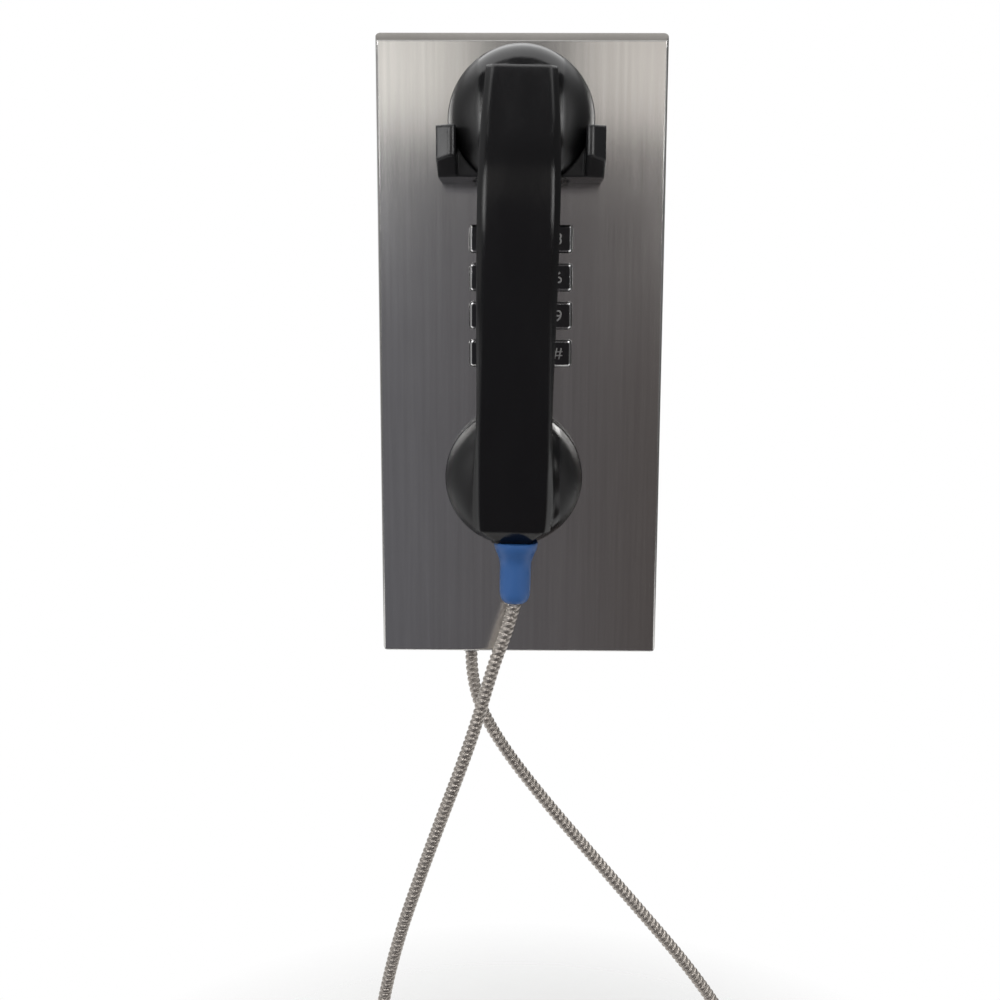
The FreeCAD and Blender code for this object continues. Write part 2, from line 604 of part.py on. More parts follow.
def switch_pins():
    """Two long pins through both ears and the switch, each with a collar on either side of the switch."""
    end = EAR_HALF_SPAN + EAR_T + PIN_END
    pins = []
    for y, z in switch_pin_places():
        pin = rod(SWITCH_PIN_R, (-end, y, z), (end, y, z))
        for side in (-1, 1):
            pin = pin.fuse(rod(SWITCH_COLLAR_R, (side * (SWITCH_SIZE[0] / 2 + SCREW_GAP), y, z),
                               (side * (EAR_HALF_SPAN - SCREW_GAP), y, z)))
        pins.append(pin.removeSplitter())
    return Part.makeCompound(pins)


# ---------------------------------------------------------------- electronics
def main_corner_places():
    x, z = MAIN_W / 2 - MAIN_INSET, MAIN_H / 2 - MAIN_INSET
    return [(sx * x, MAIN_Z + sz * z) for sx in (-1, 1) for sz in (-1, 1)]


MAIN_Y = -SHEET - STANDOFF_H  # the side of the main board that faces the wall


def main_board():
    board = rounded_plate(MAIN_W / 2, MAIN_H / 2, BOARD_CORNER_R, MAIN_Y - BOARD_T, MAIN_Y, 0, MAIN_Z)
    return board.cut(Part.makeCompound([rod(SMALL_SCREW_R + SCREW_GAP, (x, MAIN_Y - BOARD_T - PAST, z),
                                            (x, MAIN_Y + PAST, z)) for x, z in main_corner_places()]))


def board_standoffs():
    posts = []
    for x, z in main_corner_places():
        post = hexagon(STANDOFF_R, (x, MAIN_Y, z), (x, -SHEET, z))
        posts.append(post.cut(rod(SMALL_SCREW_R + SCREW_GAP, (x, MAIN_Y - PAST, z), (x, MAIN_Y + STANDOFF_BORE, z))))
    return Part.makeCompound(posts)


def board_screws():
    screws = []
    for x, z in main_corner_places():
        face = MAIN_Y - BOARD_T
        head = rod(SMALL_HEAD_R, (x, face - SMALL_HEAD_T, z), (x, face, z))
        screws.append(head.fuse(rod(SMALL_SCREW_R, (x, face, z), (x, MAIN_Y + BOARD_SCREW_DEPTH, z))))
    return Part.makeCompound(screws)


def ringer():
    x, z = RINGER_AT
    face = MAIN_Y - BOARD_T
    body = rod(RINGER_R, (x, face - RINGER_H, z), (x, face, z))
    body = body.makeFillet(RINGER_EDGE_R, [e for e in body.Edges if e.Closed and e.CenterOfMass.y < face - PAST])
    radius, depth = RINGER_HOLE
    return body.cut(rod(radius, (x, face - RINGER_H - PAST, z), (x, face - RINGER_H + depth, z)))


def terminal_block():
    x, z = TERMINAL_AT
    high, deep = TERMINAL_SIZE
    face = MAIN_Y - BOARD_T
    length = TERMINALS * TERMINAL_PITCH
    body = box(x - length / 2, x + length / 2, face - deep, face, z - high / 2, z + high / 2)
    radius, depth = TERMINAL_WELL
    places = [x + TERMINAL_PITCH * (k - (TERMINALS - 1) / 2) for k in range(TERMINALS)]
    wells = [rod(radius, (at, face - deep - PAST, z), (at, face - deep + depth, z)) for at in places]
    return body.cut(Part.makeCompound(wells))


def line_jack():
    x, z = JACK_AT
    wide, deep, tall = JACK_SIZE
    open_wide, open_deep, open_tall = JACK_OPENING
    face = MAIN_Y - BOARD_T
    body = box(x - wide / 2, x + wide / 2, face - deep, face, z - tall / 2, z + tall / 2)
    middle = face - deep / 2
    return body.cut(box(x - open_wide / 2, x + open_wide / 2, middle - open_deep / 2, middle + open_deep / 2,
                        z + tall / 2 - open_tall, z + tall / 2 + PAST))


# ---------------------------------------------------------------- handset pieces
def handle_section(z, back, finger, half, bevel, wall):
    """An eight-sided section of the handle; wall insets it on every side."""
    back, finger, half = back - wall, finger + wall, half - wall
    drop, soft = HANDLE_BEVEL_DROP, min(FINGER_BEVEL, (back - finger) / 3)
    corners = [(-half + bevel, back), (half - bevel, back), (half, back - drop), (half, finger + soft),
               (half - soft, finger), (-half + soft, finger), (-half, finger + soft), (-half, back - drop)]
    return Part.makePolygon([vec(x, out(p), z) for x, p in corners + corners[:1]])


def handle_form(wall, stations, straight=False):
    return Part.makeLoft([handle_section(*station, wall) for station in stations], True, straight)


def cup_shell(cap_r, z):
    """A cup's back with the neck that the cap screws onto."""
    neck = cap_r - CAP_WALL - THREAD_GAP
    start = CAP_OUT + CAP_FACE_T + GUARD_T
    return cup_turned([(0, start), (neck, start), (neck, CUP_BACK[0][1])], cup_back(cap_r), z)


def cup_pocket(cap_r, z):
    """The hollow for the capsule."""
    start = CAP_OUT + CAP_FACE_T
    radius = cap_r - CAP_WALL - POCKET_WALL
    return rod(radius, (0, out(start - PAST), z), (0, out(start + GUARD_T + POCKET_DEPTH), z))


def handset_shell():
    shell = fuse([handle_form(0, HANDLE), handle_form(0, HANDLE_END, True), cup_shell(EAR_CAP_R, EAR_Z),
                  cup_shell(MOUTH_CAP_R, MOUTH_Z)])
    hollow = handle_form(HANDLE_WALL, HANDLE[2:-2])
    x, y = GROMMET_X, out(GROMMET_OUT)
    stem = rod(GROMMET_STEM_R + SCREW_GAP, (x, y, GROMMET_TOP_Z - PAST), (x, y, GROMMET_TOP_Z + GROMMET_STEM_H))
    spot_face = rod(SPOT_FACE_R, (x, y, MOUTH_Z - MOUTH_CAP_R - PAST), (x, y, GROMMET_TOP_Z))
    for away in (hollow, cup_pocket(EAR_CAP_R, EAR_Z), cup_pocket(MOUTH_CAP_R, MOUTH_Z), stem, spot_face):
        shell = shell.cut(away)
    return shell


def sound_holes(z, front, back):
    places = [(0, z)]
    for count, radius in zip(SOUND_RING_COUNTS, SOUND_RING_RADII):
        places += [(radius * math.cos(2 * math.pi * k / count), z + radius * math.sin(2 * math.pi * k / count))
                   for k in range(count)]
    return Part.makeCompound([rod(SOUND_HOLE_R, (x, out(front), h), (x, out(back), h)) for x, h in places])


def screw_cap(cap_r, z):
    """A screw-on cap with sound holes."""
    body = rod(cap_r, (0, out(CAP_OUT), z), (0, out(CAP_OUT + CAP_H), z))
    body = body.makeFillet(CAP_EDGE_R, [e for e in body.Edges if e.Closed
                                        and abs(e.CenterOfMass.y - out(CAP_OUT)) < NEAR])
    inside = rod(cap_r - CAP_WALL, (0, out(CAP_OUT + CAP_FACE_T), z), (0, out(CAP_OUT + CAP_H + PAST), z))
    return body.cut(inside).cut(sound_holes(z, CAP_OUT - PAST, CAP_OUT + CAP_FACE_T + PAST))


def guard_disc(cap_r, z):
    """The perforated steel disc behind the cap's face."""
    start = CAP_OUT + CAP_FACE_T
    disc = rod(cap_r - CAP_WALL - THREAD_GAP, (0, out(start), z), (0, out(start + GUARD_T), z))
    return disc.cut(sound_holes(z, start - PAST, start + GUARD_T + PAST))


def capsule(cap_r, z):
    """A receiver or microphone capsule, with a step at its rim."""
    start = CAP_OUT + CAP_FACE_T + GUARD_T
    radius = cap_r - CAP_WALL - POCKET_WALL - CAPSULE_GAP
    profile = [(0, start), (radius, start), (radius, start + CAPSULE_RIM_H),
               (radius * CAPSULE_CAN, start + CAPSULE_RIM_H), (radius * CAPSULE_CAN, start + CAPSULE_H),
               (0, start + CAPSULE_H)]
    return turned_y(polygon([(r, out(p), z) for r, p in profile]), z)


def strain_relief():
    profile = [(0, 0)] + list(GROMMET) + [(0, GROMMET[-1][1])]
    x, y = GROMMET_X, out(GROMMET_OUT)
    points = [(x + r, y, GROMMET_TOP_Z - drop) for r, drop in profile]
    body = turned_z(rounded_outline(points, 2, len(points) - 2), x, y)
    stem = rod(GROMMET_STEM_R, (x, y, GROMMET_TOP_Z), (x, y, GROMMET_TOP_Z + GROMMET_STEM_H - GROMMET_STEM_END))
    return body.fuse(stem)


# ---------------------------------------------------------------- cord and its bushing
def cord_bushing():
    bottom = BOTTOM_Z
    x, y = CORD_EXIT_X, CORD_EXIT_Y
    profile = [(0, bottom + SHEET + BUSHING_INSIDE), (BUSHING_R, bottom + SHEET + BUSHING_INSIDE),
               (BUSHING_R, bottom), (BUSHING_FLANGE_R, bottom), (BUSHING_FLANGE_R, bottom - BUSHING_FLANGE_T),
               (BUSHING_NOSE_R, bottom - BUSHING_FLANGE_T),
               (BUSHING_TIP_R, bottom - BUSHING_FLANGE_T - BUSHING_NOSE),
               (0, bottom - BUSHING_FLANGE_T - BUSHING_NOSE)]
    return turned_z(polygon([(x + r, y, z) for r, z in profile]), x, y)


def cord_nut():
    low = BOTTOM_Z + SHEET
    x, y = CORD_EXIT_X, CORD_EXIT_Y
    body = hexagon(BUSHING_NUT_R, (x, y, low), (x, y, low + BUSHING_NUT_T))
    return body.cut(rod(BUSHING_R + SCREW_GAP, (x, y, low - PAST), (x, y, low + BUSHING_NUT_T + PAST)))


def cord_path(points):
    """Straight runs joined by tangent arcs, and the length of the whole path."""
    corners = [vec(*p) for p in points]
    edges, start, length = [], corners[0], 0.0
    for before, corner, after in zip(corners, corners[1:], corners[2:]):
        into, away = before - corner, after - corner
        shorter = min(into.Length, away.Length)
        into.normalize()
        away.normalize()
        half_turn = (math.pi - into.getAngle(away)) / 2
        trim = ARC_SHARE * shorter
        radius = trim / math.tan(half_turn)
        first, last = corner + into * trim, corner + away * trim
        inward = into + away
        inward.normalize()
        middle = corner + inward * (radius / math.cos(half_turn) - radius)
        edges.append(Part.LineSegment(start, first).toShape())
        edges.append(Part.Arc(first, middle, last).toShape())
        length += edges[-2].Length + edges[-1].Length
        start = last
        print("cord radius", round(radius, 1), "turn", round(math.degrees(2 * half_turn), 1))
    edges.append(Part.LineSegment(start, corners[-1]).toShape())
    return Part.Wire(edges), length + edges[-1].Length


def handset_cord():
    path, length = cord_path(CORD_POINTS)
    start = vec(*CORD_POINTS[0])
    section = Part.Wire([Part.makeCircle(CORD_R, start, vec(*CORD_POINTS[1]) - start)])
    tube = path.makePipeShell([section], True, False)
    print("cord length", round(length, 1), "volume ratio", round(tube.Volume / (math.pi * CORD_R ** 2 * length), 4))
    return tube


os.makedirs("parts", exist_ok=True)
save("housing_cover", housing_cover())
save("back_plate", back_plate())
save("cover_screws", cover_screws())
save("keypad_frame", keypad_frame())
for key_name, key_x, key_z in key_places():
    save("key_" + key_name, keypad_key(key_x, key_z))
save("key_mat", key_mat())
save("keypad_board", stacked_sheet(BOARD_Y, BOARD_Y + BOARD_T))
save("keypad_studs", keypad_studs())
save("keypad_nuts", keypad_nuts())
save("cradle_body", cradle_body())
save("cradle_screws", cradle_screws())
save("hook_lever", hook_lever())
save("hook_pin", hook_pin())
save("hook_bracket", hook_bracket())
save("hook_spring", hook_spring())
save("hook_switch", hook_switch())
save("switch_pins", switch_pins())
save("main_board", main_board())
save("board_standoffs", board_standoffs())
save("board_screws", board_screws())
save("ringer", ringer())
save("terminal_block", terminal_block())
save("line_jack", line_jack())
save("handset_shell", leaned(handset_shell()))
save("ear_cap", leaned(screw_cap(EAR_CAP_R, EAR_Z)))
save("ear_guard", leaned(guard_disc(EAR_CAP_R, EAR_Z)))
save("receiver_capsule", leaned(capsule(EAR_CAP_R, EAR_Z)))
save("mouth_cap", leaned(screw_cap(MOUTH_CAP_R, MOUTH_Z)))
save("mouth_guard", leaned(guard_disc(MOUTH_CAP_R, MOUTH_Z)))
save("microphone_capsule", leaned(capsule(MOUTH_CAP_R, MOUTH_Z)))
save("strain_relief", leaned(strain_relief()))
save("cord_bushing", cord_bushing())
save("cord_nut", cord_nut())
save("handset_cord", handset_cord())
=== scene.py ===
# %% [markdown]
# # An armoured wall telephone
#
# This lesson dresses a telephone of the kind found in stations and prisons: a folded stainless housing, a metal
# keypad, a black cradle and a heavy black handset on a steel-armoured cord. The solids come from the CAD model and
# keep their places. Here they get their finishes, and the pieces that solids can't show: the ribbed armour of the
# cord and the figures on the keys.

import math

import bmesh
import bpy
import numpy as np
from mathutils import Matrix, Vector


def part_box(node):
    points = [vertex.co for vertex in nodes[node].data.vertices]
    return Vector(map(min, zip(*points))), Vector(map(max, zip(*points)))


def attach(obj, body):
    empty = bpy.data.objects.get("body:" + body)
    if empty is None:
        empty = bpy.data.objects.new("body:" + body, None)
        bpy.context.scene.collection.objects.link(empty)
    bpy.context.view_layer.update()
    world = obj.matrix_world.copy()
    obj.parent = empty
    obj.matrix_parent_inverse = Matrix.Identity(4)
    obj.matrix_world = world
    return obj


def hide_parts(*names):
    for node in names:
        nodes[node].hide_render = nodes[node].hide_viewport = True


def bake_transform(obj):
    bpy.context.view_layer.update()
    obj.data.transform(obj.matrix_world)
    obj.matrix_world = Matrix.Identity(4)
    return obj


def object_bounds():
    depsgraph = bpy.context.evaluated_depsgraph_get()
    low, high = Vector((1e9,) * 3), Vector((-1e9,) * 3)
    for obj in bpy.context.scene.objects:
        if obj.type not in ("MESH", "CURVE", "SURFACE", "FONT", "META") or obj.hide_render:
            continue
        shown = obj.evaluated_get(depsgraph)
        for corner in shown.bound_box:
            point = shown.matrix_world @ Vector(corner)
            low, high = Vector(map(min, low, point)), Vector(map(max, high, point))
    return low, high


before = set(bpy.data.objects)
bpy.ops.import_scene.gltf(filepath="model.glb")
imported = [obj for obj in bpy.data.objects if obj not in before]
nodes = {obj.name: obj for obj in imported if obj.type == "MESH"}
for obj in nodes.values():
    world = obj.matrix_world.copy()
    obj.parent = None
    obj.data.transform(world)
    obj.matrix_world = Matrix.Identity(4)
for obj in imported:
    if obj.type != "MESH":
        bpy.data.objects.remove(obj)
solid_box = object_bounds()
scene = bpy.context.scene
MM = 0.001

# %% [markdown]
# ## The camera
#
# The telephone is seen from a little above its middle, at arm's length, so the handset's cups look nearly round
# and the mouthpiece's end of the handset comes towards us. A lens of 43 mm on a 36 mm sensor gives that. The camera
# looks down by 9 degrees. It stands almost straight in front, and a small turn, a small roll and a small shift of
# the lens set the telephone a little right of the picture's middle while its edges stay upright.

# %% Place the camera
FACE_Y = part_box("housing_cover")[0].y
CAMERA_SPOT = Vector((3.0 * MM, FACE_Y - 570.3 * MM, 22.9 * MM))
CAMERA_TURNS = ((0.65, "Z"), (90 - 9.08, "X"), (0.22, "Z"))  # degrees: turn, tilt and roll
camera = bpy.data.objects.new("camera", bpy.data.cameras.new("camera"))
scene.collection.objects.link(camera)
camera.data.sensor_width = 36
camera.data.lens = 43.2
camera.data.clip_start = 0.01
camera.data.shift_x = -0.0125
camera.location = CAMERA_SPOT
turn, tilt, roll = (Matrix.Rotation(math.radians(angle), 4, axis) for angle, axis in CAMERA_TURNS)
camera.rotation_euler = (turn @ tilt @ roll).to_euler()
scene.camera = camera
scene.view_settings.view_transform = "Standard"
print("camera at", [round(v, 3) for v in camera.location])

# %% [markdown]
# ## The route of the cord
#
# The armour is a long spring-like steel tube, 32 inches of it, that leaves the blue strain relief under the
# handset, hangs in one loop and comes back up into the housing's bottom. A hanging steel hose is stiff enough to
# keep one even curve, which a NURBS spline through a few control points gives. The same points carry the solid
# cord. The order and the end rule are set last, because Blender lowers the order while the spline is still short.

# %% Draw the cord's line
CORD_R = 3.175 * MM
CORD_POINTS = (
    (-2.0, -73.6, -113.1), (-4.6, -73.6, -123.8), (-12.2, -73.1, -144.5), (-22.3, -71.4, -181.7),
    (-43.4, -67.8, -239.5), (-63.1, -64.2, -298.9), (-73.3, -60.6, -355.3), (-61.3, -57.3, -405.3),
    (-27.8, -54.0, -441.6), (19.8, -50.9, -459.2), (68.6, -47.8, -452.2), (103.6, -45.1, -426.8),
    (118.4, -42.6, -390.0), (114.0, -40.2, -353.7), (92.2, -37.6, -320.4), (54.6, -34.0, -277.0),
    (3.8, -28.7, -218.5), (-18.9, -25.9, -185.0), (-24.8, -25.0, -161.8), (-24.5, -25.0, -150.2),
)


def spline_points(points_mm, steps=24):
    """Points along the smooth line that these control points give, in metres."""
    curve = bpy.data.curves.new("cord_line", "CURVE")
    curve.dimensions = "3D"
    spline = curve.splines.new("NURBS")
    spline.points.add(len(points_mm) - 1)
    for point, (x, y, z) in zip(spline.points, points_mm):
        point.co = (x * MM, y * MM, z * MM, 1)
    spline.order_u = 3
    spline.use_endpoint_u = True
    spline.resolution_u = steps
    line = bpy.data.objects.new("cord_line", curve)
    mesh = bpy.data.meshes.new_from_object(line)
    found = np.array([v.co for v in mesh.vertices], float)
    bpy.data.objects.remove(line)
    bpy.data.meshes.remove(mesh)
    return found


line = spline_points(CORD_POINTS)
run = np.r_[0, np.cumsum(np.linalg.norm(np.diff(line, axis=0), axis=1))]
print(len(line), "points on the line,", round(run[-1] / MM, 1), "mm long")

# %% [markdown]
# ## Expressions that make shader nodes
#
# A finish is a small sum: a base value, plus grain, minus wear. Node trees hide such sums, so one class wraps a
# socket and turns Python's operators into Math nodes. A second class holds a node tree and adds any other node
# through one method: its settings go in first, and then its sockets get numbers or links.

# %% Wrap a socket
class Value:
    """The output of a node, on which Python's operators work."""

    def __init__(self, socket, tree):
        self.socket, self.tree = socket, tree

    def _math(self, operation, *values):
        return self.tree.add("ShaderNodeMath", {"operation": operation}, dict(enumerate(values)))

    def __add__(self, other):
        return self._math("ADD", self, other)

    def __rsub__(self, other):
        return self._math("SUBTRACT", other, self)

    def __mul__(self, other):
        return self._math("MULTIPLY", self, other)

    def __abs__(self):
        return self._math("ABSOLUTE", self)

    def over(self, other):
        return self._math("MAXIMUM", self, other)

    __radd__, __rmul__ = __add__, __mul__


class Tree:
    """A node tree that grows from expressions."""

    def __init__(self, holder):
        holder.use_nodes = True
        self.nodes, self.links = holder.node_tree.nodes, holder.node_tree.links
        self.nodes.clear()

    def add(self, kind, settings=None, inputs=None, output=0):
        node = self.nodes.new(kind)
        for key, value in (settings or {}).items():
            if key == "stops":
                while len(node.color_ramp.elements) < len(value):
                    node.color_ramp.elements.new(0.5)
                for element, (place, level) in zip(node.color_ramp.elements, value):
                    element.position, element.color = place, (level, level, level, 1)
            else:
                setattr(node, key, value)
        for key, value in (inputs or {}).items():
            self.plug(node.inputs[key], value)
        return Value(node.outputs[output], self)

    def plug(self, socket, value):
        if isinstance(value, Value):
            self.links.new(value.socket, socket)
        elif hasattr(value, "__len__") and len(value) == 3 and socket.type == "RGBA":
            socket.default_value = (*value, 1)
        else:
            socket.default_value = value

    def scaled(self, vector, scale):
        return self.add("ShaderNodeVectorMath", {"operation": "MULTIPLY"}, {0: vector, 1: scale})

    def noise(self, vector, per_metre, detail=2.0, roughness=0.5):
        return self.add("ShaderNodeTexNoise", {"noise_dimensions": "3D"},
                        {"Vector": vector, "Scale": per_metre, "Detail": detail, "Roughness": roughness})

    def ramp(self, value, *stops):
        return self.add("ShaderNodeValToRGB", {"stops": stops}, {"Fac": value})

    def mix(self, share, first, second):
        return self.add("ShaderNodeMix", {"data_type": "RGBA", "clamp_factor": True},
                        {0: share, 6: first, 7: second}, output=2)


class Finish(Tree):
    """A surface's material: its Principled shader, with constants set on the shader's own sockets."""

    def __init__(self, name, **constants):
        self.material = bpy.data.materials.new(name)
        super().__init__(self.material)
        self.shader = self.nodes.new("ShaderNodeBsdfPrincipled")
        out = self.nodes.new("ShaderNodeOutputMaterial")
        self.links.new(self.shader.outputs[0], out.inputs["Surface"])
        for key, value in constants.items():
            self.plug(self.shader.inputs[key.replace("_", " ")], value)
        self.spot = self.add("ShaderNodeTexCoord", output=3)

    def facing(self, axis, start, end):
        """0 to 1 as the surface turns towards the positive end of an axis (0, 1 or 2)."""
        normal = self.add("ShaderNodeTexCoord", output=1)
        share = self.add("ShaderNodeSeparateXYZ", {}, {0: normal}, output=axis)
        return self.add("ShaderNodeMapRange", {}, {"Value": share, "From Min": start, "From Max": end})

    def set(self, **sockets):
        for key, value in sockets.items():
            self.plug(self.shader.inputs[key.replace("_", " ")], value)

    def relief(self, height, depth, soft_edge=0.0):
        """A bump of this depth in metres, on edges rounded by soft_edge."""
        inputs = {"Height": height, "Distance": depth, "Strength": 1.0}
        if soft_edge:
            inputs["Normal"] = self.add("ShaderNodeBevel", {"samples": 6}, {"Radius": soft_edge})
        self.plug(self.shader.inputs["Normal"], self.add("ShaderNodeBump", {}, inputs))


print("expression classes ready")

# %% [markdown]
# ## Brushed stainless steel
#
# The housing is folded from 1.9 mm stainless sheet with a number 4 finish: a belt has left fine scratches that all
# run up and down. Each scratch is a groove too fine to draw, so it could be painted as streaks alone, but then the
# light would not spread sideways as it does on real brushed steel. So a noise stretched along z also tilts the
# surface a little, which smears reflections across the grain and keeps them sharp along it. The fold that faces up
# is painted shade: a dark grey-brown, rough and not metallic, so it stays dark under the bright ceiling above.

# %% Finish of the housing
def brushed_stainless():
    steel = Finish("brushed_stainless")
    grain = steel.noise(steel.scaled(steel.spot, (1, 1, 0.012)), 2400, 3, 0.6)
    streaks = steel.noise(steel.scaled(steel.spot, (1, 1, 0.02)), 420, 2)
    handling = steel.noise(steel.spot, 14, 4, 0.6)
    tone = 0.45 * streaks + 0.3 * grain + 0.25 * handling
    metal = steel.mix(steel.ramp(tone, (0.35, 0.0), (0.65, 1.0)), (0.66, 0.65, 0.635), (0.77, 0.76, 0.745))
    # painted shade: the fold that faces up turns dark grey-brown, rough and not metallic
    dust_and_painted_shade = steel.facing(2, 0.02, 0.16) * (0.8 + 0.2 * handling)
    steel.set(Base_Color=steel.mix(dust_and_painted_shade, metal, (0.137, 0.126, 0.111)), Metallic=1 - dust_and_painted_shade,
              Roughness=0.11 + 0.05 * grain + 0.04 * handling + 0.6 * dust_and_painted_shade)
    steel.relief(grain, 0.0012 * MM, 0.5 * MM)
    return steel.material


# %% [markdown]
# ## Plainer metals
#
# The back plate, the screws, the cast frame and the sprung parts are seen only when the telephone is opened, but
# each has its own surface. Mill-rolled sheet is cloudy, a plated screw has a fine even grain, and a die casting is
# slightly pebbled. One function makes them all from a colour, a roughness, and how coarse and deep the grain is.

# %% Finish of plain metals
def plain_metal(name, colour, roughness, per_metre, depth, mottle=0.12):
    metal = Finish(name, Metallic=1.0)
    grain = metal.noise(metal.spot, per_metre, 3, 0.6)
    cloud = metal.noise(metal.spot, 60, 3)
    dull = tuple(c * (1 - 2 * mottle) for c in colour)
    metal.set(Base_Color=metal.mix(0.6 * cloud + 0.4 * grain, dull, colour),
              Roughness=roughness - 0.06 + 0.12 * cloud)
    metal.relief(grain, depth)
    return metal.material


# %% [markdown]
# ## Black moulded plastic
#
# The handset and the cradle are thick glossy ABS, polished by hands. Its gloss could be a flat roughness, but real
# moulded plastic is a little uneven: the skin waves slightly, fingers leave duller patches, and cloths leave fine
# scuffs. The grip is polished most, and beside it the cups stay duller. The edges of a moulding are never knife
# sharp, so a Bevel node rounds them for the light.

# %% Finish of the plastics
def moulded_plastic(name, colour, roughness, edge, scuff=0.1, grip=None):
    plastic = Finish(name, IOR=1.5)
    skin = plastic.noise(plastic.spot, 260, 2)
    smears = plastic.noise(plastic.scaled(plastic.spot, (1, 1, 0.45)), 38, 4, 0.6)
    scuffs = plastic.noise(plastic.scaled(plastic.spot, (1.0, 0.5, 0.18)), 1500, 2, 0.7)
    worn = plastic.ramp(smears, (0.42, 0.0), (0.72, 1.0))
    paler = tuple(c * 1.35 + 0.002 for c in colour)
    roughness = roughness + scuff * worn + 0.05 * scuffs
    if grip:
        from_middle = abs(plastic.add("ShaderNodeSeparateXYZ", {}, {0: plastic.spot}))
        beside = {"Value": from_middle, "From Min": grip, "From Max": grip + 2 * MM}
        roughness += 0.3 * plastic.add("ShaderNodeMapRange", {}, beside)
    plastic.set(Base_Color=plastic.mix(0.35 * worn + 0.25 * scuffs, colour, paler), Roughness=roughness)
    plastic.relief(0.8 * skin + 0.2 * scuffs, 0.02 * MM, edge)
    return plastic.material


# %% [markdown]
# ## The keys
#
# The keys are zinc castings with a chrome plating: nearly a mirror, with a faint ripple from the casting under it
# and duller spots where fingertips land. The faces turned to the front are painted dark, as a painted reflection of
# the dark room in front, and the pale figures show against it; the chrome is bright again on the rim round each face.

# %% Finish of the keys and their figures
def chromed_zinc():
    chrome = Finish("chromed_zinc", Metallic=1.0)
    ripple = chrome.noise(chrome.spot, 190, 2)
    touched = chrome.noise(chrome.spot, 420, 3, 0.6)
    bright = chrome.mix(touched, (0.62, 0.62, 0.63), (0.72, 0.715, 0.71))
    # painted reflection: key faces turned to the front are coloured dark, like chrome mirroring a dark room
    chrome.set(Base_Color=chrome.mix(chrome.facing(1, -0.9, -0.985), bright, (0.10, 0.10, 0.104)),
               Roughness=0.07 + 0.12 * chrome.ramp(touched, (0.4, 0.0), (0.7, 1.0)))
    chrome.relief(ripple, 0.03 * MM, 0.35 * MM)
    return chrome.material


# %% [markdown]
# ## Boards and rubber
#
# A circuit board is glass fibre under green lacquer, and the copper tracks under it stand up by a hair. A brick
# pattern of unequal rows gives something like tracks, without drawing a real circuit. The key mat is grey silicone,
# matt and a little translucent.

# %% Finish of the boards and the mat
def circuit_board():
    board = Finish("circuit_board", IOR=1.45)
    turned = board.add("ShaderNodeCombineXYZ", {}, {
        0: board.add("ShaderNodeSeparateXYZ", {}, {0: board.spot}, output=0),
        1: board.add("ShaderNodeSeparateXYZ", {}, {0: board.spot}, output=2)})
    tracks = board.add("ShaderNodeTexBrick", {"offset": 0.37, "squash": 1.6, "squash_frequency": 3},
                       {"Vector": turned, "Scale": 210.0, "Mortar Size": 0.035}, output=1)
    weave = board.noise(board.spot, 900, 2)
    board.set(Base_Color=board.mix(0.75 * tracks + 0.2 * weave, (0.008, 0.085, 0.035), (0.03, 0.2, 0.07)),
              Roughness=0.28 + 0.2 * weave)
    board.relief(tracks, 0.03 * MM)
    return board.material


def silicone():
    rubber = Finish("silicone", IOR=1.41, Subsurface_Weight=0.1)
    dust_and_painted_shade = rubber.noise(rubber.spot, 700, 3)
    rubber.set(Base_Color=rubber.mix(dust_and_painted_shade, (0.28, 0.28, 0.29), (0.4, 0.4, 0.41)), Roughness=0.55 + 0.2 * dust_and_painted_shade)
    rubber.relief(dust_and_painted_shade, 0.02 * MM)
    return rubber.material


# %% [markdown]
# ## Give every solid its finish
#
# Each solid of the model names the finish of its record, so one table from those names to the finishes above dresses
# all of them. A name that has no finish stops the lesson, which is better than a grey part nobody notices.

# %% Assign the finishes
finishes = {
    "brushed_stainless": brushed_stainless(),
    "plain_stainless": plain_metal("plain_stainless", (0.60, 0.595, 0.58), 0.38, 900, 0.01 * MM),
    "fastener_steel": plain_metal("fastener_steel", (0.62, 0.61, 0.58), 0.3, 2600, 0.008 * MM),
    "guard_steel": plain_metal("guard_steel", (0.50, 0.49, 0.47), 0.35, 1500, 0.01 * MM),
    "bushing_steel": plain_metal("bushing_steel", (0.48, 0.46, 0.43), 0.34, 1400, 0.02 * MM),
    "cast_zinc": plain_metal("cast_zinc", (0.42, 0.425, 0.43), 0.5, 1300, 0.05 * MM),
    "chromed_zinc": chromed_zinc(),
    "silicone": silicone(),
    "circuit_board": circuit_board(),
    "black_plastic": moulded_plastic("black_plastic", (0.011, 0.011, 0.012), 0.16, 1.6 * MM, 0.08),
    "component_black": moulded_plastic("component_black", (0.012, 0.012, 0.013), 0.45, 0.2 * MM),
    "component_green": moulded_plastic("component_green", (0.02, 0.16, 0.06), 0.4, 0.2 * MM),
    "component_clear": moulded_plastic("component_clear", (0.5, 0.52, 0.52), 0.12, 0.2 * MM),
    "blue_plastic": moulded_plastic("blue_plastic", (0.019, 0.09, 0.275), 0.36, 0.3 * MM),
    "armour_steel": plain_metal("armour_steel", (0.56, 0.515, 0.47), 0.42, 1600, 0.001 * MM, 0.10),
}
GRIP_HALF_WIDTH = 17.5 * MM
handset_finish = moulded_plastic(
    "handset_plastic", (0.0038, 0.0036, 0.0042), 0.12, 2.2 * MM, 0.06, GRIP_HALF_WIDTH)
for name, node in nodes.items():
    slot = node.material_slots[0].material.name.split(".")[0] if node.material_slots else "none"
    print(name, slot)
    node.data.materials.clear()
    node.data.materials.append(handset_finish if name == "handset_shell" else finishes[slot])

# %% [markdown]
# ## The armour of the cord
#
# The armour is one steel strip, rolled into an S shape and wound so that each turn hooks into the last. From outside
# it is a screw thread of rounded ribs with a narrow groove between them. A plain tube with a bump would look smooth
# along its outline, so the ribs are real: rows of points walk round and along the cord at once, and the last point of
# a turn is the first point of the next.

